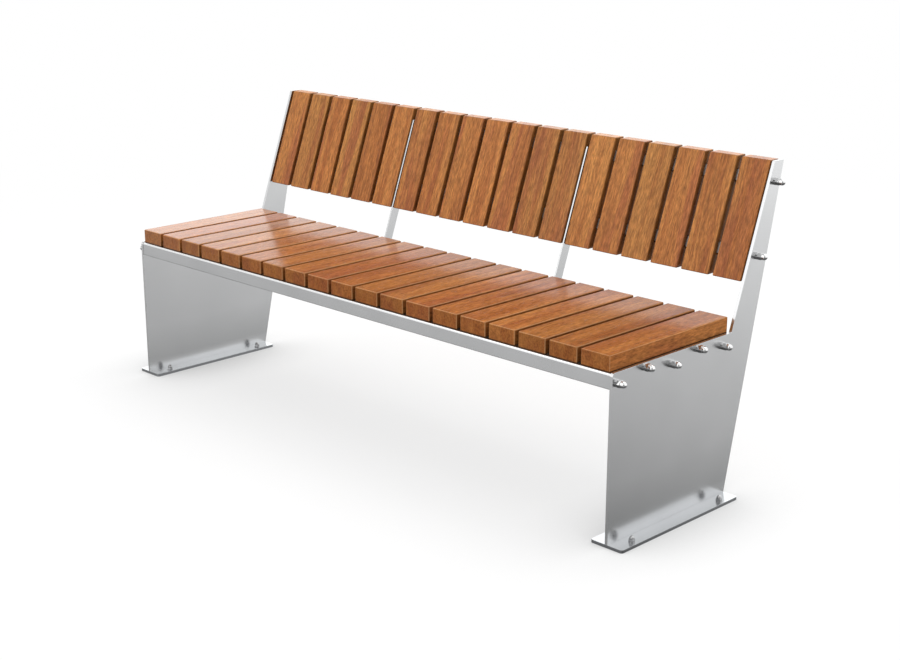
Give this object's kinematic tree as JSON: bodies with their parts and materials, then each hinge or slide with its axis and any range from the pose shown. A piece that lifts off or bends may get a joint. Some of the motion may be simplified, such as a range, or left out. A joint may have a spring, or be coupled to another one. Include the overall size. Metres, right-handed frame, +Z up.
{
  "type": "street bench",
  "caption": "Street bench with hardwood slats laid across for the seat and leaning back, on stainless steel end frames with bolted base plates, tubes and rails.",
  "frame": {"origin": "on the ground, under the middle of the bench's box", "axes": "+X along the bench, to the right of someone facing its front; +Y from front to back; +Z up"},
  "size_m": [1.884, 0.6219, 0.806],
  "materials": {
    "hardwood": "oiled, semi-gloss, with open grain",
    "stainless_plate": "fine satin",
    "stainless_tube": "fine satin",
    "polished_steel": "polished"
  },
  "bodies": {
    "root": {"anchor_nuts": "polished_steel", "back_slat_01": "hardwood", "back_slat_02": "hardwood", "back_slat_03": "hardwood", "back_slat_04": "hardwood", "back_slat_05": "hardwood", "back_slat_06": "hardwood", "back_slat_07": "hardwood", "back_slat_08": "hardwood", "back_slat_09": "hardwood", "back_slat_10": "hardwood", "back_slat_11": "hardwood", "back_slat_12": "hardwood", "back_slat_13": "hardwood", "back_slat_14": "hardwood", "back_slat_15": "hardwood", "back_slat_16": "hardwood", "back_slat_17": "hardwood", "back_slat_18": "hardwood", "back_slat_19": "hardwood", "end_plugs": "stainless_tube", "frame_cap_nuts": "polished_steel", "frame_studs": "stainless_tube", "front_seat_rail": "stainless_tube", "front_seat_tube": "stainless_tube", "left_back_arm": "stainless_plate", "left_base_plate": "stainless_plate", "left_side_plate": "stainless_plate", "lower_back_rail_left": "stainless_tube", "lower_back_rail_middle": "stainless_tube", "lower_back_rail_right": "stainless_tube", "middle_seat_tube": "stainless_tube", "rear_seat_rail": "stainless_tube", "rear_seat_tube": "stainless_tube", "right_back_arm": "stainless_plate", "right_base_plate": "stainless_plate", "right_side_plate": "stainless_plate", "seat_slat_01": "hardwood", "seat_slat_02": "hardwood", "seat_slat_03": "hardwood", "seat_slat_04": "hardwood", "seat_slat_05": "hardwood", "seat_slat_06": "hardwood", "seat_slat_07": "hardwood", "seat_slat_08": "hardwood", "seat_slat_09": "hardwood", "seat_slat_10": "hardwood", "seat_slat_11": "hardwood", "seat_slat_12": "hardwood", "seat_slat_13": "hardwood", "seat_slat_14": "hardwood", "seat_slat_15": "hardwood", "seat_slat_16": "hardwood", "seat_slat_17": "hardwood", "seat_slat_18": "hardwood", "seat_slat_19": "hardwood", "upper_back_rail_left": "stainless_tube", "upper_back_rail_middle": "stainless_tube", "upper_back_rail_right": "stainless_tube"}
  },
  "joints": []
}
